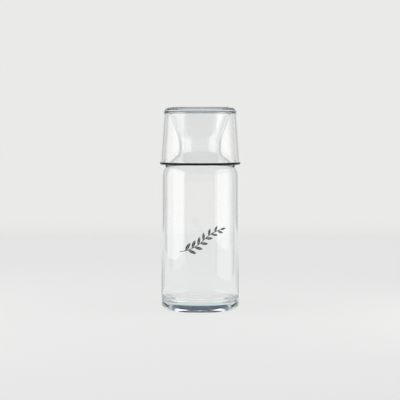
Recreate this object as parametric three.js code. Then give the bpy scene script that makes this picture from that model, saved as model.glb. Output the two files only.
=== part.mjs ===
// A clear glass water carafe whose drinking tumbler stands upside down over its neck.
// Millimetres, +Z up. The origin is the centre of the carafe's foot, on the table.
// Every piece is round about Z, so each is an outline of radius and height turned about that axis.

import * as THREE from "three";

// Carafe outside. The outline's corners are given as they lie before rounding.
const BODY_DIAMETER = 85;
const BODY_TAPER = 0.5; // the wall's radius loses this much from the foot to the shoulder
const HEEL_RADIUS = 5.5;
const SHOULDER_HEIGHT = 156;
const SHOULDER_RADIUS = 26;
const THROAT_DIAMETER = 46.8;
const THROAT_RISE = 12; // from the shoulder's corner up to the throat's
const THROAT_RADIUS = 6;
const FLARE_DIAMETER = 47.4; // where the neck starts to open like a trumpet
const FLARE_RISE = 18; // from the throat's corner up to there
const FLARE_RADIUS = 70;

// Carafe glass
const CARAFE_WALL = 2.5;
const CARAFE_BASE = 10.8; // from the flat ring that it stands on up to the floor inside
const CARAFE_FLOOR_RADIUS = 6;
const CARAFE_FOOT_RING = 1.8; // width of that flat ring
const CARAFE_HOLLOW = 7.5; // depth of the hollow inside the ring
const CARAFE_HOLLOW_STEP = 3.05; // the hollow's side is upright to here
const CARAFE_HOLLOW_SLOPE = 41; // and then slopes in by this many degrees
const CARAFE_HOLLOW_RADIUS = 2; // where it meets the hollow's flat roof

// Tumbler, measured as it stands for drinking, mouth up
const TUMBLER_HEIGHT = 62.1;
const TUMBLER_DRAFT = 4.1; // degrees that the wall leans out
const TUMBLER_WALL = 2.2;
const TUMBLER_BASE = 6;
const TUMBLER_HEEL_RADIUS = 6.4;
const TUMBLER_FLOOR_RADIUS = 3;
const TUMBLER_FOOT_RING = 4;
const TUMBLER_HOLLOW = 1;
const TUMBLER_HOLLOW_STEP = 0.3;
const TUMBLER_HOLLOW_SLOPE = 30;
const TUMBLER_HOLLOW_RADIUS = 3;

// Black enamel fired round the tumbler's lip
const BAND_HEIGHT = 2.6;
const BAND_COAT = 0.4;

// How the two glasses fit
const LIP_OVERHANG = 1.75; // the tumbler's lip stands this far outside the carafe's wall
const LIP_STANDOFF = 3; // and this far above the shoulder's corner
const MOUTH_CLEARANCE = 0.4; // round the carafe's mouth, inside the tumbler's floor corner
const SEAT_GAP = 0.3; // between the carafe's mouth and the tumbler's floor
const BAND_GAP = 0.1; // between the enamel and the glass under it

// Fineness of the facets
const SEGMENTS = 48; // round the axis
const CHORD_ERROR = 0.1; // most that a facet of an outline's arc departs from it

// A corner of an outline, with the radius that rounds it
function corner(radius, height, rounding = 0) {
  return { at: new THREE.Vector2(radius, height), rounding };
}

// The direction to the left of a way, which is the glass side on a way up the outside
function leftOf(along) {
  return new THREE.Vector2(-along.y, along.x);
}

// The way from each corner to the next
function directions(corners) {
  return corners.slice(1).map((next, i) => next.at.clone().sub(corners[i].at).normalize());
}

// The outline that runs beside another at a distance, to its left if that is positive
function parallel(corners, distance) {
  const ways = directions(corners);
  return corners.map(({ at, rounding }, i) => {
    const before = ways[Math.max(i - 1, 0)];
    const after = ways[Math.min(i, ways.length - 1)];
    const toLeft = leftOf(before).add(leftOf(after)).normalize();
    const reach = distance / toLeft.dot(leftOf(after));
    const turnsLeft = before.cross(after) > 0;
    const rounded = rounding ? Math.max(rounding + (turnsLeft ? -distance : distance), 0) : 0;
    return { at: at.clone().addScaledVector(toLeft, reach), rounding: rounded };
  });
}

// The point of the line through two corners at a height
function atHeight(a, b, height) {
  return a.at.clone().lerp(b.at, (height - a.at.y) / (b.at.y - a.at.y));
}

// How much of the side towards a neighbour a rounded corner may use: two rounded corners share it
function room(from, neighbour) {
  const length = from.at.distanceTo(neighbour.at);
  return neighbour.rounding ? length / 2 : length;
}

// The outline's points, with each rounded corner as an arc that meets both of its sides smoothly
function roundCorners(corners) {
  const ways = directions(corners);
  return corners.flatMap((here, i) => {
    if (!here.rounding) return [here.at];
    const [before, after] = [ways[i - 1], ways[i]];
    const turn = Math.acos(before.dot(after));
    const slack = Math.min(room(here, corners[i - 1]), room(here, corners[i + 1]));
    const tangent = Math.min(here.rounding * Math.tan(turn / 2), slack);
    const radius = tangent / Math.tan(turn / 2);
    const side = Math.sign(before.cross(after));
    const start = here.at.clone().addScaledVector(before, -tangent);
    const centre = start.clone().addScaledVector(leftOf(before), side * radius);
    const facet = 2 * Math.acos(1 - Math.min(CHORD_ERROR / radius, 1));
    const steps = Math.ceil(turn / facet);
    return Array.from({ length: steps + 1 }, (_, k) =>
      start.clone().rotateAround(centre, (side * turn * k) / steps),
    );
  });
}

// A glass vessel's whole outline: the hollow under its foot, the ring that it stands on, up the
// outside, over the lip and down to the floor. The outside starts at the heel and ends at the mouth.
function vesselOutline(outside, { wall, base, floorRadius, footRing, hollow }) {
  const heel = outside[0];
  const inside = parallel(outside, wall);
  const mouth = outside.at(-1);
  const innerMouth = atHeight(inside.at(-2), inside.at(-1), mouth.at.y);
  const floor = corner(atHeight(inside[0], inside[1], base).x, base, floorRadius);
  const ringRadius = heel.at.x - heel.rounding - footRing;
  const steepness = Math.tan(THREE.MathUtils.degToRad(hollow.slope));
  const roofRadius = ringRadius - (hollow.depth - hollow.step) / steepness;
  const solid = [
    corner(0, hollow.depth),
    corner(roofRadius, hollow.depth, hollow.rounding),
    corner(ringRadius, hollow.step),
    corner(ringRadius, 0),
    ...outside.slice(0, -1),
    corner(mouth.at.x, mouth.at.y, wall / 2),
    corner(innerMouth.x, innerMouth.y, wall / 2),
    ...inside.slice(1, -1).reverse(),
    floor,
    corner(0, base),
  ];
  return roundCorners(solid);
}

// A solid turned about Z from an outline of radius and height
function turned(name, outline, material) {
  const geometry = new THREE.LatheGeometry(outline, SEGMENTS).rotateX(Math.PI / 2);
  const mesh = new THREE.Mesh(geometry, material);
  mesh.name = name;
  return mesh;
}

const clearGlass = new THREE.MeshStandardMaterial({
  color: 0xe9f1f3,
  roughness: 0.02,
  metalness: 0,
  transparent: true,
  opacity: 0.35,
});
const blackEnamel = new THREE.MeshStandardMaterial({ color: 0x0b0b0c, roughness: 0.25, metalness: 0 });

// Sizes that follow from the fit of the two glasses
const shoulderRadius = BODY_DIAMETER / 2 - BODY_TAPER;
const lipRadius = shoulderRadius + LIP_OVERHANG;
const lean = Math.tan(THREE.MathUtils.degToRad(TUMBLER_DRAFT));
const tumblerFootRadius = lipRadius - TUMBLER_HEIGHT * lean;
const lipLevel = SHOULDER_HEIGHT + LIP_STANDOFF;
const tumblerTop = lipLevel + TUMBLER_HEIGHT;
const carafeHeight = tumblerTop - TUMBLER_BASE - SEAT_GAP;

// Tumbler
const tumblerOutside = [
  corner(tumblerFootRadius, 0, TUMBLER_HEEL_RADIUS),
  corner(lipRadius, TUMBLER_HEIGHT),
];
const [tumblerInnerFoot, tumblerInnerLip] = parallel(tumblerOutside, TUMBLER_WALL);
const tumblerFloorRadius = atHeight(tumblerInnerFoot, tumblerInnerLip, TUMBLER_BASE).x;

function buildTumbler() {
  const outline = vesselOutline(tumblerOutside, {
    wall: TUMBLER_WALL,
    base: TUMBLER_BASE,
    floorRadius: TUMBLER_FLOOR_RADIUS,
    footRing: TUMBLER_FOOT_RING,
    hollow: {
      depth: TUMBLER_HOLLOW,
      step: TUMBLER_HOLLOW_STEP,
      slope: TUMBLER_HOLLOW_SLOPE,
      rounding: TUMBLER_HOLLOW_RADIUS,
    },
  });
  return turned("tumbler", outline, clearGlass);
}

// The enamel wraps the lip: down the outside, over the edge and down the inside by the same height.
function buildRimBand() {
  const hem = TUMBLER_HEIGHT - BAND_HEIGHT;
  const edge = atHeight(tumblerInnerFoot, tumblerInnerLip, TUMBLER_HEIGHT).x;
  const lip = [
    corner(lipRadius - BAND_HEIGHT * lean, hem),
    corner(lipRadius, TUMBLER_HEIGHT, TUMBLER_WALL / 2),
    corner(edge, TUMBLER_HEIGHT, TUMBLER_WALL / 2),
    corner(edge - BAND_HEIGHT * lean, hem),
  ];
  const outer = roundCorners(parallel(lip, -BAND_GAP - BAND_COAT));
  const inner = roundCorners(parallel(lip, -BAND_GAP)).reverse();
  return turned("tumbler_rim_band", [...outer, ...inner, outer[0].clone()], blackEnamel);
}

// Carafe
function buildCarafe() {
  const mouthRadius = tumblerFloorRadius - TUMBLER_FLOOR_RADIUS - MOUTH_CLEARANCE;
  const throatLevel = SHOULDER_HEIGHT + THROAT_RISE;
  const outside = [
    corner(BODY_DIAMETER / 2, 0, HEEL_RADIUS),
    corner(shoulderRadius, SHOULDER_HEIGHT, SHOULDER_RADIUS),
    corner(THROAT_DIAMETER / 2, throatLevel, THROAT_RADIUS),
    corner(FLARE_DIAMETER / 2, throatLevel + FLARE_RISE, FLARE_RADIUS),
    corner(mouthRadius, carafeHeight),
  ];
  const outline = vesselOutline(outside, {
    wall: CARAFE_WALL,
    base: CARAFE_BASE,
    floorRadius: CARAFE_FLOOR_RADIUS,
    footRing: CARAFE_FOOT_RING,
    hollow: {
      depth: CARAFE_HOLLOW,
      step: CARAFE_HOLLOW_STEP,
      slope: CARAFE_HOLLOW_SLOPE,
      rounding: CARAFE_HOLLOW_RADIUS,
    },
  });
  return turned("carafe", outline, clearGlass);
}

const carafeWithTumbler = new THREE.Group();
carafeWithTumbler.add(buildCarafe());

// The tumbler hangs upside down, with its floor on the carafe's mouth.
const upsideDown = new THREE.Group();
upsideDown.rotation.x = Math.PI;
upsideDown.position.z = tumblerTop;
upsideDown.add(buildTumbler(), buildRimBand());
carafeWithTumbler.add(upsideDown);

export default carafeWithTumbler;
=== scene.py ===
"""Dresses a clear glass carafe and the tumbler that stands upside down over its neck.

Both glasses are spun about Z from an outline of radius and height, as a glassmaker's mould is turned.
Sizes of the glasses and of their decoration are in millimetres, and those of the set round them are in
metres, as the meshes are. The decorated front faces -Y.
"""

import logging
import math
from dataclasses import dataclass
from enum import Enum
from typing import Any

import bpy
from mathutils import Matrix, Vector

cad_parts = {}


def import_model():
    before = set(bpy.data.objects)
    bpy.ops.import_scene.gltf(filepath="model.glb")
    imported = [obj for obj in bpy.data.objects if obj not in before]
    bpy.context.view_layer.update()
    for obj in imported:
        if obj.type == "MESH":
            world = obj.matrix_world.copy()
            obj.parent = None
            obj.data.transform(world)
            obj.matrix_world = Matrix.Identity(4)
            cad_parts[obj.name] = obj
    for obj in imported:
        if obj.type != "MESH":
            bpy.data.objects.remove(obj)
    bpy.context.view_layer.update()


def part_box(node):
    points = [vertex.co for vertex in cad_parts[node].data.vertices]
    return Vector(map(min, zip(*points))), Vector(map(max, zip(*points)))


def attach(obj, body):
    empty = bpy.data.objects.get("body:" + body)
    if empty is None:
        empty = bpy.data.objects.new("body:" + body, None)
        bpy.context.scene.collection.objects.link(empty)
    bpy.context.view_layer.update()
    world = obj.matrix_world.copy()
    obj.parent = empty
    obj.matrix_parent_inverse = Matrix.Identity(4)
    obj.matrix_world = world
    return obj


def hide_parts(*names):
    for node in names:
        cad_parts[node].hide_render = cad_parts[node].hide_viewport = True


LOG = logging.getLogger("carafe_with_tumbler")
MM = 0.001
GLASS_BOUNCES = 18  # turns that a ray may take between the faces of both glasses
MOUTH_CLEARANCE = 1.9  # mm round the carafe's mouth, inside the tumbler's floor corner
ROUND_STEPS = 192  # faces round a spun piece
MERGE_DISTANCE = 0.001  # mm within which the ends of a spin become one

# Sockets of a Mix node that mixes colours, whose names its other kinds share
MIX_FIRST = 6
MIX_SECOND = 7
MIX_RESULT = 2


def linear(hex_colour: str) -> tuple[float, float, float, float]:
    """Turn an sRGB hex colour into linear light.

    Args:
        hex_colour: Six hex digits.

    Returns:
        Linear red, green and blue, and an alpha of 1.
    """
    channels = [int(hex_colour[i : i + 2], 16) / 255 for i in (0, 2, 4)]
    red, green, blue = [c / 12.92 if c <= 0.04045 else ((c + 0.055) / 1.055) ** 2.4 for c in channels]
    return red, green, blue, 1.0


def per_metre(size_mm: float) -> float:
    """Give the texture scale at which a pattern repeats about once in a size."""
    return 1 / (size_mm * MM)


def add_node(
    tree: bpy.types.NodeTree,
    kind: str,
    inputs: dict[str | int, Any] | None = None,
    **settings: Any,
) -> bpy.types.Node:
    """Add a node with its settings and links.

    Args:
        tree: The node tree that gets the node.
        kind: The node's type, without the ShaderNode that all of them start with.
        inputs: For each input, a plain value or the output socket to link to it.
        settings: The node's own attributes.

    Returns:
        The new node.
    """
    node = tree.nodes.new("ShaderNode" + kind)
    for name, value in settings.items():
        setattr(node, name, value)
    for socket, value in (inputs or {}).items():
        if isinstance(value, bpy.types.NodeSocket):
            tree.links.new(value, node.inputs[socket])
        else:
            node.inputs[socket].default_value = value
    return node


def empty_material(name: str) -> bpy.types.Material:
    """Make a material whose node tree is empty."""
    material = bpy.data.materials.new(name)
    material.use_nodes = True
    material.node_tree.nodes.clear()
    return material


@dataclass(frozen=True)
class ClearGlass:
    """Soda-lime glass, blown or pressed and fire polished.

    The skin is smooth, with the slow ripples that the mould and the cooling leave. The glass is clear
    in a thin wall and blue where the eye looks along it.
    """

    name: str
    tint: str
    absorption: float  # per metre
    ior: float = 1.52
    ripple_mm: float = 26.0
    ripple_squeeze: float = 0.35  # scale of the ripples up the glass, where they are longer
    ripple_detail: float = 1.0
    ripple_strength: float = 0.25
    ripple_depth_mm: float = 0.05
    smear_mm: float = 18.0
    smear_detail: float = 3.0
    smear_from: float = 0.45  # levels of the noise between which a smear fades in
    smear_to: float = 0.75
    smoothest: float = 0.0
    roughest: float = 0.018

    def material(self) -> bpy.types.Material:
        """Build the glass.

        Returns:
            The finished material.
        """
        material = empty_material(self.name)
        tree = material.node_tree
        place = add_node(tree, "TexCoord").outputs["Object"]
        upright = add_node(tree, "Mapping", {"Vector": place, "Scale": (1, 1, self.ripple_squeeze)})
        ripple = add_node(
            tree,
            "TexNoise",
            {
                "Vector": upright.outputs["Vector"],
                "Scale": per_metre(self.ripple_mm),
                "Detail": self.ripple_detail,
            },
        )
        bump = add_node(
            tree,
            "Bump",
            {
                "Height": ripple.outputs["Fac"],
                "Strength": self.ripple_strength,
                "Distance": self.ripple_depth_mm * MM,
            },
        )
        smear = add_node(
            tree,
            "TexNoise",
            {"Vector": place, "Scale": per_metre(self.smear_mm), "Detail": self.smear_detail},
        )
        roughness = add_node(
            tree,
            "MapRange",
            {
                "Value": smear.outputs["Fac"],
                "From Min": self.smear_from,
                "From Max": self.smear_to,
                "To Min": self.smoothest,
                "To Max": self.roughest,
            },
        )
        skin = add_node(
            tree,
            "BsdfPrincipled",
            {
                "Base Color": (1, 1, 1, 1),
                "Roughness": roughness.outputs["Result"],
                "IOR": self.ior,
                "Transmission Weight": 1.0,
                "Normal": bump.outputs["Normal"],
            },
        )
        depth = add_node(tree, "VolumeAbsorption", {"Color": linear(self.tint), "Density": self.absorption})
        add_node(
            tree,
            "OutputMaterial",
            {"Surface": skin.outputs["BSDF"], "Volume": depth.outputs["Volume"]},
        )
        return material


@dataclass(frozen=True)
class FiredEnamel:
    """Black glass enamel, brushed or printed on and fired until it flows.

    It is glossy, with the faint orange peel of a melt that set on a cold wall.
    """

    name: str
    colour: str
    thin_colour: str
    glossiest: float
    dullest: float
    ior: float = 1.25  # below that of glass, so that thin print stays black beside the light panels
    cloud_mm: float = 7.0
    cloud_detail: float = 4.0
    peel_mm: float = 0.9
    peel_detail: float = 1.0
    peel_strength: float = 0.4
    peel_depth_mm: float = 0.02

    def material(self) -> bpy.types.Material:
        """Build the enamel.

        Returns:
            The finished material.
        """
        material = empty_material(self.name)
        tree = material.node_tree
        place = add_node(tree, "TexCoord").outputs["Object"]
        cloud = add_node(
            tree,
            "TexNoise",
            {"Vector": place, "Scale": per_metre(self.cloud_mm), "Detail": self.cloud_detail},
        )
        colour = add_node(
            tree,
            "Mix",
            {
                "Factor": cloud.outputs["Fac"],
                MIX_FIRST: linear(self.colour),
                MIX_SECOND: linear(self.thin_colour),
            },
            data_type="RGBA",
        )
        roughness = add_node(
            tree,
            "MapRange",
            {"Value": cloud.outputs["Fac"], "To Min": self.glossiest, "To Max": self.dullest},
        )
        peel = add_node(
            tree,
            "TexNoise",
            {"Vector": place, "Scale": per_metre(self.peel_mm), "Detail": self.peel_detail},
        )
        bump = add_node(
            tree,
            "Bump",
            {
                "Height": peel.outputs["Fac"],
                "Strength": self.peel_strength,
                "Distance": self.peel_depth_mm * MM,
            },
        )
        skin = add_node(
            tree,
            "BsdfPrincipled",
            {
                "Base Color": colour.outputs[MIX_RESULT],
                "Roughness": roughness.outputs["Result"],
                "IOR": self.ior,
                "Normal": bump.outputs["Normal"],
            },
        )
        add_node(tree, "OutputMaterial", {"Surface": skin.outputs["BSDF"]})
        return material


@dataclass(frozen=True)
class Corner:
    """A corner of an outline before it is rounded, in millimetres from the axis and from the foot."""

    radius: float
    height: float
    rounding: float = 0.0

    @property
    def at(self) -> Vector:
        """The corner's place as radius and height."""
        return Vector((self.radius, self.height))


def left_of(way: Vector) -> Vector:
    """Give the direction to the left of a way, which is the glass side on a way up the outside."""
    return Vector((-way.y, way.x))


def left_of_heading(heading: float) -> Vector:
    """Give the direction to the left of a heading in radians."""
    return left_of(Vector((math.cos(heading), math.sin(heading))))


def turn_between(before: Vector, after: Vector) -> float:
    """Give the angle from one way to the next, positive to the left."""
    return math.atan2(before.x * after.y - before.y * after.x, before.dot(after))


@dataclass(frozen=True)
class Outline:
    """A run of corners that a glass's section follows."""

    corners: tuple[Corner, ...]

    ARC_STEP = math.radians(5)  # most that an arc turns between two points
    LONGEST_SIDE = 3.0  # past which a straight side is split

    def ways(self) -> list[Vector]:
        """Give the direction from each corner to the next."""
        return [(b.at - a.at).normalized() for a, b in zip(self.corners, self.corners[1:])]

    def parallel(self, distance: float) -> "Outline":
        """Lay an outline beside this one.

        Args:
            distance: How far to the left it lies.

        Returns:
            The outline beside it, with its roundings about the same centres.
        """
        ways = self.ways()
        beside = []
        for i, corner in enumerate(self.corners):
            before, after = ways[max(i - 1, 0)], ways[min(i, len(ways) - 1)]
            to_left = (left_of(before) + left_of(after)).normalized()
            place = corner.at + to_left * (distance / to_left.dot(left_of(after)))
            shrink = distance if turn_between(before, after) > 0 else -distance
            rounding = max(corner.rounding - shrink, 0.0) if corner.rounding else 0.0
            beside.append(Corner(place.x, place.y, rounding))
        return Outline(tuple(beside))

    def radius_at(self, side: int, height: float) -> float:
        """Give the radius where one straight side, drawn out, passes a height.

        Args:
            side: The number of the corner that the side starts from.
            height: The height that it passes.

        Returns:
            The radius there.
        """
        a, b = self.corners[side].at, self.corners[side + 1].at
        return a.lerp(b, (height - a.y) / (b.y - a.y)).x

    def _room(self, here: int, there: int) -> float:
        """Give how much of the side to a neighbour a rounding may use."""
        length = (self.corners[here].at - self.corners[there].at).length
        return length / 2 if self.corners[there].rounding else length

    def _arc(self, i: int, before: Vector, after: Vector) -> list[Vector]:
        """Round one corner.

        Args:
            i: The corner's number.
            before: The way that leads to it.
            after: The way that leads on.

        Returns:
            Points on the arc that meets both ways smoothly.
        """
        corner = self.corners[i]
        turn = turn_between(before, after)
        bend = math.tan(abs(turn) / 2)
        tangent = min(corner.rounding * bend, self._room(i, i - 1), self._room(i, i + 1))
        start = corner.at - before * tangent
        to_centre = left_of(before) * math.copysign(tangent / bend, turn)
        steps = math.ceil(abs(turn) / self.ARC_STEP)
        points = []
        for k in range(steps + 1):
            angle = turn * k / steps
            spoke = -to_centre
            turned = Vector(
                (
                    spoke.x * math.cos(angle) - spoke.y * math.sin(angle),
                    spoke.x * math.sin(angle) + spoke.y * math.cos(angle),
                )
            )
            points.append(start + to_centre + turned)
        return points

    def points(self) -> list[Vector]:
        """Give the rounded outline.

        Returns:
            Its points, with the arcs in fine steps and the long straight sides split.
        """
        ways = self.ways()
        bare = []
        for i, corner in enumerate(self.corners):
            if corner.rounding:
                bare += self._arc(i, ways[i - 1], ways[i])
            else:
                bare.append(corner.at)
        fine = [bare[0]]
        for a, b in zip(bare, bare[1:]):
            pieces = math.ceil((b - a).length / self.LONGEST_SIDE)
            fine += [a.lerp(b, k / pieces) for k in range(1, pieces + 1)]
        return fine


def spin(name: str, outline: list[Vector]) -> bpy.types.Object:
    """Extrude a point along an outline and spin it about Z into a closed skin.

    Args:
        name: The piece's name.
        outline: Radius and height of each point, in millimetres.

    Returns:
        The piece, smooth and at the origin.
    """
    spots = [Vector((p.x, 0, p.y)) * MM for p in outline]
    bpy.ops.object.select_all(action="DESELECT")
    bpy.ops.mesh.primitive_plane_add(size=MM)
    piece = bpy.context.active_object
    piece.name = piece.data.name = name
    bpy.ops.object.mode_set(mode="EDIT")
    bpy.ops.mesh.merge(type="CENTER")
    bpy.ops.transform.translate(value=spots[0])
    for a, b in zip(spots, spots[1:]):
        bpy.ops.mesh.extrude_vertices_move(TRANSFORM_OT_translate={"value": b - a})
    bpy.ops.mesh.select_all(action="SELECT")
    bpy.ops.mesh.spin(steps=ROUND_STEPS, angle=math.tau, center=(0, 0, 0), axis=(0, 0, 1))
    bpy.ops.mesh.select_all(action="SELECT")
    bpy.ops.mesh.remove_doubles(threshold=MERGE_DISTANCE * MM)
    bpy.ops.mesh.normals_make_consistent(inside=False)
    bpy.ops.object.mode_set(mode="OBJECT")
    bpy.ops.object.shade_smooth()
    return piece


@dataclass
class GlassVessel:
    """A round glass with an even wall, whose floor is raised over a hollow inside its foot ring."""

    wall: float
    base: float  # from the ring that it stands on up to the floor inside
    floor_rounding: float
    foot_ring: float  # width of that ring
    hollow: float  # depth
    hollow_step: float  # upright part of the hollow's side
    hollow_flank: float  # degrees that the rest of it slopes
    hollow_rounding: float

    def outside(self) -> Outline:
        """Give the outside from the heel up to the mouth."""
        raise NotImplementedError

    def floor_radius(self) -> float:
        """Give the radius of the corner between the floor and the wall inside."""
        return self.outside().parallel(self.wall).radius_at(0, self.base)

    def section(self) -> list[Vector]:
        """Draw the whole section, mouth up.

        Returns:
            Points from under the foot, up the outside, over the lip and down to the floor's middle.
        """
        outside = self.outside()
        inside = outside.parallel(self.wall)
        heel, mouth = outside.corners[0], outside.corners[-1]
        ring = heel.radius - heel.rounding - self.foot_ring
        inner_mouth = inside.radius_at(len(inside.corners) - 2, mouth.height)
        roof = ring - (self.hollow - self.hollow_step) / math.tan(math.radians(self.hollow_flank))
        solid = Outline(
            (
                Corner(0, self.hollow),
                Corner(roof, self.hollow, self.hollow_rounding),
                Corner(ring, self.hollow_step),
                Corner(ring, 0),
                *outside.corners[:-1],
                Corner(mouth.radius, mouth.height, self.wall / 2),
                Corner(inner_mouth, mouth.height, self.wall / 2),
                *inside.corners[-2:0:-1],
                Corner(self.floor_radius(), self.base, self.floor_rounding),
                Corner(0, self.base),
            )
        )
        return solid.points()


@dataclass
class Tumbler(GlassVessel):
    """The drinking glass, with its sizes as it stands mouth up."""

    height: float
    lip_radius: float
    draft: float  # degrees that the wall leans out
    heel_rounding: float
    top: float  # height of its foot as it hangs

    def outside(self) -> Outline:
        """Give the outside from the heel up to the lip."""
        foot = self.lip_radius - self.height * math.tan(math.radians(self.draft))
        return Outline((Corner(foot, 0, self.heel_rounding), Corner(self.lip_radius, self.height)))

    def hang(self, outline: list[Vector]) -> list[Vector]:
        """Turn an outline that is drawn mouth up to where the tumbler hangs, mouth down."""
        return [Vector((p.x, self.top - p.y)) for p in outline]

    def build(self) -> bpy.types.Object:
        """Spin the tumbler where it hangs.

        Returns:
            The piece.
        """
        return spin("tumbler_glass", self.hang(self.section()))


@dataclass
class Carafe(GlassVessel):
    """The water bottle, from its heavy base to its funnel mouth."""

    foot_radius: float
    taper: float  # that the wall's radius loses from the foot to the shoulder
    heel_rounding: float
    shoulder_height: float
    shoulder_rounding: float
    throat_radius: float
    throat_rise: float  # from the shoulder's corner up to the throat's
    throat_rounding: float
    flare_radius: float
    flare_rise: float  # from the throat's corner up to where the neck opens
    flare_rounding: float
    mouth_radius: float
    height: float

    def outside(self) -> Outline:
        """Give the outside from the heel up to the mouth."""
        throat = self.shoulder_height + self.throat_rise
        return Outline(
            (
                Corner(self.foot_radius, 0, self.heel_rounding),
                Corner(self.foot_radius - self.taper, self.shoulder_height, self.shoulder_rounding),
                Corner(self.throat_radius, throat, self.throat_rounding),
                Corner(self.flare_radius, throat + self.flare_rise, self.flare_rounding),
                Corner(self.mouth_radius, self.height),
            )
        )

    def build(self) -> bpy.types.Object:
        """Spin the carafe.

        Returns:
            The piece.
        """
        return spin("carafe_glass", self.section())


@dataclass
class RimBand:
    """The black enamel that wraps the tumbler's lip."""

    tumbler: Tumbler
    height: float
    coat: float
    gap: float

    def build(self) -> bpy.types.Object:
        """Spin the band round the lip where the tumbler hangs.

        Returns:
            The piece.
        """
        tumbler = self.tumbler
        inside = tumbler.outside().parallel(tumbler.wall)
        hem = tumbler.height - self.height
        lip = Outline(
            (
                Corner(tumbler.outside().radius_at(0, hem), hem),
                Corner(tumbler.lip_radius, tumbler.height, tumbler.wall / 2),
                Corner(inside.radius_at(0, tumbler.height), tumbler.height, tumbler.wall / 2),
                Corner(inside.radius_at(0, hem), hem),
            )
        )
        outer = lip.parallel(-self.gap - self.coat).points()
        inner = lip.parallel(-self.gap).points()
        return spin("tumbler_rim_enamel", tumbler.hang(outer + inner[::-1] + outer[:1]))


@dataclass(frozen=True)
class Arc:
    """A bend of the sprig's stem, as the circle that it follows and how far round it goes."""

    radius: float
    turn: float  # degrees, positive to the left

    @property
    def length(self) -> float:
        """The length of stem that it bends."""
        return self.radius * abs(math.radians(self.turn))

    @property
    def reach(self) -> float:
        """How far to the left of the stem its centre lies."""
        return math.copysign(self.radius, self.turn)


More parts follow.
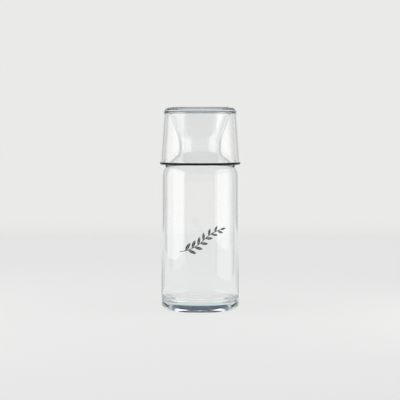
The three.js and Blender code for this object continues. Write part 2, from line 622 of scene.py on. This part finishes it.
@dataclass(frozen=True)
class Sprig:
    """A sprig of slender leaves, printed on the front of the carafe in ink.

    It is drawn flat before the glass, across X and up Z, and then laid on the wall.
    """

    start: tuple[float, float]
    heading: float  # degrees up from level
    bends: tuple[Arc, ...]
    stem_width: float
    leaf_pairs: int
    first_leaf: float
    last_leaf: float
    leaf_shape: float  # width of a leaf as a share of its length
    leaf_angle: float  # degrees from the stem
    vein: float  # width of the bare line down a leaf
    ink: float  # thickness
    gap: float  # between the ink and the glass

    AHEAD = 60.0  # distance before the axis at which it is drawn
    STRIP = 1.5  # width of the strips that lie round the wall
    BEND_STEPS = 24
    LEAF_VERTICES = 96
    TIP_SPACING = 0.6  # from the last pair of leaves to the tip, in spacings of the pairs
    STAGGER = 0.03  # share of the stem by which each leaf of a pair is moved along it

    def stem(self, share: float) -> tuple[Vector, float]:
        """Find a place on the stem.

        Args:
            share: How far along the stem it is, from 0 to 1.

        Returns:
            The place across and up, and the stem's heading there.
        """
        place, heading = Vector(self.start), math.radians(self.heading)
        to_go = share * sum(bend.length for bend in self.bends)
        for bend in self.bends:
            gone = min(to_go, bend.length)
            centre = place + left_of_heading(heading) * bend.reach
            heading += gone / bend.reach
            place = centre - left_of_heading(heading) * bend.reach
            to_go -= gone
        return place, heading

    def _before_glass(self, spot: Vector) -> Vector:
        """Give the place of a spot of the flat drawing, in metres."""
        return Vector((spot.x, -self.AHEAD, spot.y)) * MM

    def _draw_stem(self) -> bpy.types.Object:
        """Sweep a short line round each bend in turn.

        Returns:
            The flat stem.
        """
        bpy.ops.object.select_all(action="DESELECT")
        bpy.ops.mesh.primitive_plane_add(size=MM)
        stem = bpy.context.active_object
        bpy.ops.object.mode_set(mode="EDIT")
        bpy.ops.mesh.merge(type="CENTER")
        place, heading = self.stem(0)
        across = left_of_heading(heading) * self.stem_width
        width = Vector((across.x, 0, across.y)) * MM
        bpy.ops.transform.translate(value=self._before_glass(place - across / 2))
        bpy.ops.mesh.extrude_vertices_move(TRANSFORM_OT_translate={"value": width})
        bpy.ops.mesh.select_all(action="SELECT")
        for bend in self.bends:
            centre = place + left_of_heading(heading) * bend.reach
            bpy.ops.mesh.spin(
                steps=self.BEND_STEPS,
                angle=math.radians(abs(bend.turn)),
                center=self._before_glass(centre),
                axis=(0, math.copysign(1, bend.turn), 0),
            )
            heading += math.radians(bend.turn)
            place = centre - left_of_heading(heading) * bend.reach
        bpy.ops.object.mode_set(mode="OBJECT")
        return stem

    def _draw_leaf(self) -> bpy.types.Object:
        """Cut one leaf from two discs, with a bare vein between its halves.

        Returns:
            A flat leaf as long as the first, with its root at the origin.
        """
        length, half_width = self.first_leaf, self.first_leaf * self.leaf_shape / 2
        radius = (length**2 / 4 + half_width**2) / (2 * half_width)
        halves = []
        for side in (1, -1):
            bpy.ops.object.select_all(action="DESELECT")
            bpy.ops.mesh.primitive_circle_add(
                vertices=self.LEAF_VERTICES,
                radius=radius * MM,
                fill_type="NGON",
                location=Vector((length / 2, 0, side * (half_width - radius))) * MM,
                rotation=(math.pi / 2, 0, 0),
            )
            bpy.ops.object.transform_apply(location=True, rotation=True, scale=True)
            halves.append(bpy.context.active_object)
            bpy.ops.object.mode_set(mode="EDIT")
            bpy.ops.mesh.select_all(action="SELECT")
            bpy.ops.mesh.bisect(
                plane_co=(0, 0, side * self.vein / 2 * MM),
                plane_no=(0, 0, side),
                clear_inner=True,
            )
            bpy.ops.object.mode_set(mode="OBJECT")
        bpy.ops.object.select_all(action="DESELECT")
        for half in halves:
            half.select_set(True)
        bpy.context.view_layer.objects.active = halves[0]
        bpy.ops.object.join()
        return halves[0]

    def _set_leaves(self, leaf: bpy.types.Object) -> list[bpy.types.Object]:
        """Set copies of the leaf along the stem in pairs, with one at its tip.

        Args:
            leaf: The leaf that is copied.

        Returns:
            The leaf and its copies, each in its place.
        """
        spots = []
        for pair in range(self.leaf_pairs):
            share = (pair + 1) / (self.leaf_pairs + self.TIP_SPACING)
            spots.append((share - self.STAGGER, self.leaf_angle))
            spots.append((share + self.STAGGER, -self.leaf_angle))
        spots.append((1.0, 0.0))
        leaves = [leaf]
        for _ in spots[1:]:
            copy = leaf.copy()
            copy.data = leaf.data.copy()
            bpy.context.scene.collection.objects.link(copy)
            leaves.append(copy)
        for piece, (share, aside) in zip(leaves, spots):
            place, heading = self.stem(share)
            piece.location = self._before_glass(place)
            piece.rotation_euler = (0, -heading - math.radians(aside), 0)
            size = (self.first_leaf + (self.last_leaf - self.first_leaf) * share) / self.first_leaf
            piece.scale = (size, 1, size)
        return leaves

    def build(self, glass: bpy.types.Object) -> bpy.types.Object:
        """Print the sprig on a glass.

        Args:
            glass: The glass whose wall it lies on.

        Returns:
            The print, as thick as its ink.
        """
        stem = self._draw_stem()
        leaves = self._set_leaves(self._draw_leaf())
        bpy.ops.object.select_all(action="DESELECT")
        for piece in [*leaves, stem]:
            piece.select_set(True)
        bpy.context.view_layer.objects.active = stem
        bpy.ops.object.join()
        stem.name = stem.data.name = "carafe_sprig_print"
        bpy.ops.object.mode_set(mode="EDIT")
        edges = [v.co.x / MM for v in stem.data.vertices]
        first, last = math.ceil(min(edges) / self.STRIP), math.floor(max(edges) / self.STRIP)
        for strip in range(first, last + 1):
            bpy.ops.mesh.select_all(action="SELECT")
            bpy.ops.mesh.bisect(plane_co=(strip * self.STRIP * MM, 0, 0), plane_no=(1, 0, 0))
        bpy.ops.mesh.select_all(action="DESELECT")
        bpy.ops.object.mode_set(mode="OBJECT")
        for face in stem.data.polygons:
            face.select = face.normal.y > 0
        bpy.ops.object.mode_set(mode="EDIT")
        bpy.ops.mesh.flip_normals()
        bpy.ops.object.mode_set(mode="OBJECT")
        lay = stem.modifiers.new("lay", "SHRINKWRAP")
        lay.target = glass
        lay.wrap_method = "PROJECT"
        lay.wrap_mode = "ABOVE_SURFACE"
        lay.use_project_y = True
        lay.use_positive_direction = True
        lay.offset = self.gap * MM
        thicken = stem.modifiers.new("ink", "SOLIDIFY")
        thicken.thickness = self.ink * MM
        thicken.offset = 1.0
        for modifier in (lay.name, thicken.name):
            bpy.ops.object.modifier_apply(modifier=modifier)
        return stem


class Side(Enum):
    """The side of the set that a panel or a card stands on, as the sign of its place along X."""

    LEFT = -1
    RIGHT = 1


def add_plane(
    name: str,
    size: tuple[float, float],
    place: tuple[float, float, float],
    turn: tuple[float, float, float] = (0, 0, 0),
) -> bpy.types.Object:
    """Add a plane of the set.

    Args:
        name: Its name.
        size: Its sides along X and Y before it is turned.
        place: Where its middle is.
        turn: How it is turned about X, Y and Z.

    Returns:
        The plane, with its size, place and turn in its mesh.
    """
    bpy.ops.object.select_all(action="DESELECT")
    bpy.ops.mesh.primitive_plane_add(size=1, location=place, rotation=turn)
    plane = bpy.context.active_object
    plane.name = name
    plane.scale = (*size, 1)
    bpy.ops.object.transform_apply(location=True, rotation=True, scale=True)
    return plane


@dataclass(frozen=True)
class LightPanel:
    """A tall soft panel beside the glass that faces across it and fades towards its upright edges."""

    side: Side
    away: float
    front: float
    back: float
    foot: float
    top: float
    radiance: float
    front_fade: float
    back_fade: float

    MIRRORED_ONCE = 1.0  # glossy depth of a ray that one surface has mirrored

    def material(self) -> bpy.types.Material:
        """Build the panel's light, which glass mirrors but doesn't show straight through itself.

        Returns:
            The finished material.
        """
        material = empty_material(f"panel_{self.side.name.lower()}")
        tree = material.node_tree
        place = add_node(tree, "TexCoord").outputs["Object"]
        along = add_node(tree, "SeparateXYZ", {"Vector": place}).outputs["Y"]
        rise = add_node(
            tree,
            "MapRange",
            {"Value": along, "From Min": self.front, "From Max": self.front + self.front_fade},
            interpolation_type="SMOOTHSTEP",
        )
        fall = add_node(
            tree,
            "MapRange",
            {"Value": along, "From Min": self.back, "From Max": self.back - self.back_fade},
            interpolation_type="SMOOTHSTEP",
        )
        share = add_node(
            tree, "Math", {0: rise.outputs["Result"], 1: fall.outputs["Result"]}, operation="MULTIPLY"
        )
        strength = add_node(tree, "Math", {0: share.outputs[0], 1: self.radiance}, operation="MULTIPLY")
        light = add_node(tree, "Emission", {"Strength": strength.outputs[0]})
        path = add_node(tree, "LightPath")
        unmirrored = add_node(
            tree,
            "Math",
            {0: path.outputs["Glossy Depth"], 1: self.MIRRORED_ONCE},
            operation="LESS_THAN",
        )
        straight = add_node(
            tree,
            "Math",
            {0: unmirrored.outputs[0], 1: path.outputs["Is Transmission Ray"]},
            operation="MULTIPLY",
        )
        gap = add_node(tree, "BsdfTransparent")
        mixed = add_node(
            tree,
            "MixShader",
            {0: straight.outputs[0], 1: light.outputs["Emission"], 2: gap.outputs["BSDF"]},
        )
        add_node(tree, "OutputMaterial", {"Surface": mixed.outputs["Shader"]})
        return material

    def build(self) -> None:
        """Stand the panel up, hidden from the camera."""
        panel = add_plane(
            f"panel_{self.side.name.lower()}",
            size=(self.top - self.foot, self.back - self.front),
            place=(self.side.value * self.away, (self.front + self.back) / 2, (self.foot + self.top) / 2),
            turn=(0, math.pi / 2, 0),
        )
        panel.data.materials.append(self.material())
        panel.visible_camera = False


@dataclass(frozen=True)
class PaintedReflectionCard:
    """A low card behind one side of the glass, whose painted dark reflection draws a dark line down the
    glass's edge.

    It lights nothing. It shows only as a painted dark reflection in the glass, in a dim colour that it
    keeps whatever light falls on it, and it fades out towards its top.
    """

    side: Side
    # colour of the painted dark reflection that the glass shows
    colour: str
    inner: float = 0.05
    outer: float = 0.22
    behind: float = 0.13
    top: float = 0.055
    fade: float = 0.035

    def material(self) -> bpy.types.Material:
        """Build the card's painted reflection: a dim colour that it keeps whatever light falls on it.

        Returns:
            The finished material.
        """
        material = empty_material(f"card_{self.side.name.lower()}")
        tree = material.node_tree
        place = add_node(tree, "TexCoord").outputs["Object"]
        height = add_node(tree, "SeparateXYZ", {"Vector": place}).outputs["Z"]
        fade = add_node(
            tree, "MapRange", {"Value": height, "From Min": self.top - self.fade, "From Max": self.top}
        )
        skin = add_node(tree, "Emission", {"Color": linear(self.colour), "Strength": 1.0})
        gap = add_node(tree, "BsdfTransparent")
        mixed = add_node(
            tree,
            "MixShader",
            {0: fade.outputs["Result"], 1: skin.outputs["Emission"], 2: gap.outputs["BSDF"]},
        )
        add_node(tree, "OutputMaterial", {"Surface": mixed.outputs["Shader"]})
        return material

    def build(self) -> None:
        """Stand the card up, hidden from all rays but mirrored ones, so that it shows only as a painted
        reflection.
        """
        card = add_plane(
            f"card_{self.side.name.lower()}",
            size=(self.outer - self.inner, self.top),
            place=(self.side.value * (self.inner + self.outer) / 2, self.behind, self.top / 2),
            turn=(math.pi / 2, 0, 0),
        )
        card.data.materials.append(self.material())
        card.visible_camera = False
        card.visible_diffuse = False
        card.visible_shadow = False
        card.visible_transmission = False


@dataclass(frozen=True)
class SeamlessPaper:
    """The pale paper that the glass stands on, and the sheet of it that hangs behind."""

    floor: str = "fafaf8"
    wall: str = "eaeae8"
    fold_behind: float = 1.0
    fold_radius: float = 0.03
    reach: float = 2.6
    half_width: float = 0.46
    height: float = 0.8
    glow: float = 0.78  # how much of its brightness the floor keeps in shade

    FOLD_STEPS = 12

    def material(self) -> bpy.types.Material:
        """Build the paper, which shows its own colour to the eye and through glass.

        Returns:
            The finished material.
        """
        material = empty_material("seamless_paper")
        tree = material.node_tree
        place = add_node(tree, "TexCoord").outputs["Object"]
        height = add_node(tree, "SeparateXYZ", {"Vector": place}).outputs["Z"]
        rise = add_node(tree, "MapRange", {"Value": height, "From Max": self.fold_radius})
        colour = add_node(
            tree,
            "Mix",
            {
                "Factor": rise.outputs["Result"],
                MIX_FIRST: linear(self.floor),
                MIX_SECOND: linear(self.wall),
            },
            data_type="RGBA",
        ).outputs[MIX_RESULT]
        keep = add_node(tree, "MapRange", {"Value": rise.outputs["Result"], "To Min": self.glow})
        path = add_node(tree, "LightPath")
        seen = add_node(
            tree,
            "Math",
            {0: path.outputs["Is Camera Ray"], 1: path.outputs["Is Glossy Ray"]},
            operation="MAXIMUM",
        )
        through = add_node(
            tree,
            "Math",
            {0: seen.outputs[0], 1: path.outputs["Is Transmission Ray"]},
            operation="MAXIMUM",
        )
        share = add_node(
            tree, "Math", {0: through.outputs[0], 1: keep.outputs["Result"]}, operation="MULTIPLY"
        )
        paper = add_node(tree, "BsdfDiffuse", {"Color": colour})
        glow = add_node(tree, "Emission", {"Color": colour, "Strength": 1.0})
        mixed = add_node(
            tree,
            "MixShader",
            {0: share.outputs[0], 1: paper.outputs["BSDF"], 2: glow.outputs["Emission"]},
        )
        add_node(tree, "OutputMaterial", {"Surface": mixed.outputs["Shader"]})
        return material

    def build(self) -> None:
        """Lay the floor, and hang the sheet behind it with its foot swept forward to meet the floor."""
        fold_start = self.fold_behind - self.fold_radius
        floor = add_plane(
            "paper_floor",
            size=(2 * self.reach, 2 * self.reach),
            place=(0, fold_start - self.reach, 0),
        )
        sheet = add_plane(
            "paper_sheet",
            size=(2 * self.half_width, self.height - self.fold_radius),
            place=(0, self.fold_behind, (self.fold_radius + self.height) / 2),
            turn=(math.pi / 2, 0, 0),
        )
        bpy.ops.object.mode_set(mode="EDIT")
        bpy.ops.mesh.select_mode(type="EDGE")
        bpy.ops.mesh.select_all(action="DESELECT")
        bpy.ops.object.mode_set(mode="OBJECT")
        for edge in sheet.data.edges:
            edge.select = max(sheet.data.vertices[i].co.z for i in edge.vertices) < self.fold_radius + MM
        bpy.ops.object.mode_set(mode="EDIT")
        bpy.ops.mesh.spin(
            steps=self.FOLD_STEPS,
            angle=math.pi / 2,
            center=(0, fold_start, self.fold_radius),
            axis=(1, 0, 0),
        )
        bpy.ops.mesh.select_mode(type="VERT")
        bpy.ops.object.mode_set(mode="OBJECT")
        bpy.ops.object.shade_smooth()

        material = self.material()
        for paper in (floor, sheet):
            paper.data.materials.append(material)


@dataclass(frozen=True)
class DimRoom:
    """The room round the set: grey about the horizon and dark overhead, so that glass edges read dark."""

    low: str = "c0c2c3"
    high: str = "143f56"
    low_until: float = 0.25  # sine of the height above the horizon
    high_from: float = 0.5

    def build(self) -> None:
        """Make the room the scene's world."""
        world = bpy.data.worlds.new("dim_room")
        world.use_nodes = True
        tree = world.node_tree
        tree.nodes.clear()
        way = add_node(tree, "TexCoord").outputs["Generated"]
        up = add_node(tree, "SeparateXYZ", {"Vector": way}).outputs["Z"]
        share = add_node(
            tree, "MapRange", {"Value": up, "From Min": self.low_until, "From Max": self.high_from}
        )
        colour = add_node(
            tree,
            "Mix",
            {
                "Factor": share.outputs["Result"],
                MIX_FIRST: linear(self.low),
                MIX_SECOND: linear(self.high),
            },
            data_type="RGBA",
        )
        back = add_node(tree, "Background", {"Color": colour.outputs[MIX_RESULT], "Strength": 1.0})
        add_node(tree, "OutputWorld", {"Surface": back.outputs["Background"]})
        bpy.context.scene.world = world


@dataclass(frozen=True)
class PhotoCamera:
    """A long lens a little below the height of the set, tipped down a little."""

    lens: float = 122.0  # mm
    distance: float = 1.485
    height: float = 0.202
    tilt: float = 3.18  # degrees
    aside: float = -0.0002

    def build(self) -> None:
        """Stand the camera in front of the glass and make it the scene's."""
        data = bpy.data.cameras.new("photo_camera")
        data.lens = self.lens
        camera = bpy.data.objects.new("photo_camera", data)
        bpy.context.scene.collection.objects.link(camera)
        camera.location = (self.aside, -self.distance, self.height)
        camera.rotation_euler = (math.radians(90 - self.tilt), 0, 0)
        bpy.context.scene.camera = camera


def dress(piece: bpy.types.Object, material: bpy.types.Material, body: str) -> None:
    """Give a piece its material and the body that carries it.

    Args:
        piece: The piece.
        material: What it is made of.
        body: The body that carries it.
    """
    piece.data.materials.clear()
    piece.data.materials.append(material)
    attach(piece, body)
    LOG.info("%s rides on %s: %d faces", piece.name, body, len(piece.data.polygons))


def deepen_light_paths(bounces: int) -> None:
    """Let light turn as often as thick glass turns it between its faces.

    Args:
        bounces: How many times a ray may turn.
    """
    paths = bpy.context.scene.cycles
    paths.max_bounces = bounces
    paths.glossy_bounces = bounces
    paths.transmission_bounces = bounces


def main() -> None:
    """Build the two glasses, their decoration and the set, and log each piece's face count."""
    logging.basicConfig(level=logging.INFO, format="%(name)s: %(message)s")
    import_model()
    bpy.context.scene.view_settings.view_transform = "Standard"
    deepen_light_paths(GLASS_BOUNCES)

    _, carafe_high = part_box("carafe")
    tumbler_low, tumbler_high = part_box("tumbler")
    tumbler = Tumbler(
        wall=2.2,
        base=6.0,
        floor_rounding=1.5,
        foot_ring=4.0,
        hollow=1.0,
        hollow_step=0.3,
        hollow_flank=30.0,
        hollow_rounding=3.0,
        height=(tumbler_high.z - tumbler_low.z) / MM,
        lip_radius=43.75,
        draft=4.1,
        heel_rounding=6.4,
        top=tumbler_high.z / MM,
    )
    carafe = Carafe(
        wall=2.5,
        base=10.8,
        floor_rounding=6.0,
        foot_ring=1.3,
        hollow=7.5,
        hollow_step=3.25,
        hollow_flank=41.0,
        hollow_rounding=2.0,
        foot_radius=carafe_high.x / MM,
        taper=0.5,
        heel_rounding=6.0,
        shoulder_height=156.0,
        shoulder_rounding=26.0,
        throat_radius=23.4,
        throat_rise=16.0,
        throat_rounding=6.0,
        flare_radius=23.7,
        flare_rise=14.0,
        flare_rounding=70.0,
        mouth_radius=tumbler.floor_radius() - tumbler.floor_rounding - MOUTH_CLEARANCE,
        height=carafe_high.z / MM,
    )
    band = RimBand(tumbler, height=2.0, coat=0.4, gap=0.03)
    sprig = Sprig(
        start=(-22.0, 66.0),
        heading=8.0,
        bends=(Arc(radius=45.0, turn=38.0), Arc(radius=38.0, turn=-30.0)),
        stem_width=0.7,
        leaf_pairs=6,
        first_leaf=11.0,
        last_leaf=7.0,
        leaf_shape=0.3,
        leaf_angle=42.0,
        vein=0.3,
        ink=0.05,
        gap=0.02,
    )

    carafe_glass = ClearGlass("carafe_soda_lime", tint="63bfcf", absorption=4.0).material()
    tumbler_glass = ClearGlass("tumbler_soda_lime", tint="7cc3e1", absorption=2.0).material()
    enamel = FiredEnamel(
        "black_rim_enamel", colour="070708", thin_colour="0c0c0e", glossiest=0.25, dullest=0.4
    ).material()
    ink = FiredEnamel(
        "black_printed_enamel", colour="0e0f11", thin_colour="1a1b1e", glossiest=0.3, dullest=0.45
    ).material()

    carafe_piece, tumbler_piece, band_piece = carafe.build(), tumbler.build(), band.build()
    dress(carafe_piece, carafe_glass, "carafe")
    dress(tumbler_piece, tumbler_glass, "tumbler")
    dress(band_piece, enamel, "tumbler")
    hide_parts("carafe")
    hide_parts("tumbler")
    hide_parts("tumbler_rim_band")
    dress(sprig.build(carafe_piece), ink, "carafe")

    SeamlessPaper().build()
    DimRoom().build()
    LightPanel(
        Side.LEFT,
        away=0.52,
        front=-0.52,
        back=0.42,
        foot=0.01,
        top=0.5,
        radiance=1.9,
        front_fade=0.12,
        back_fade=0.4,
    ).build()
    LightPanel(
        Side.RIGHT,
        away=0.34,
        front=-0.33,
        back=0.2,
        foot=0.0,
        top=0.4,
        radiance=1.5,
        front_fade=0.08,
        back_fade=0.2,
    ).build()
    # Cards of painted dark reflection, darker on the left, that draw dark lines down the glass's edges
    PaintedReflectionCard(Side.LEFT, colour="5a7080").build()
    PaintedReflectionCard(Side.RIGHT, colour="8f9ea8").build()
    PhotoCamera().build()


if __name__ == "__main__":
    main()
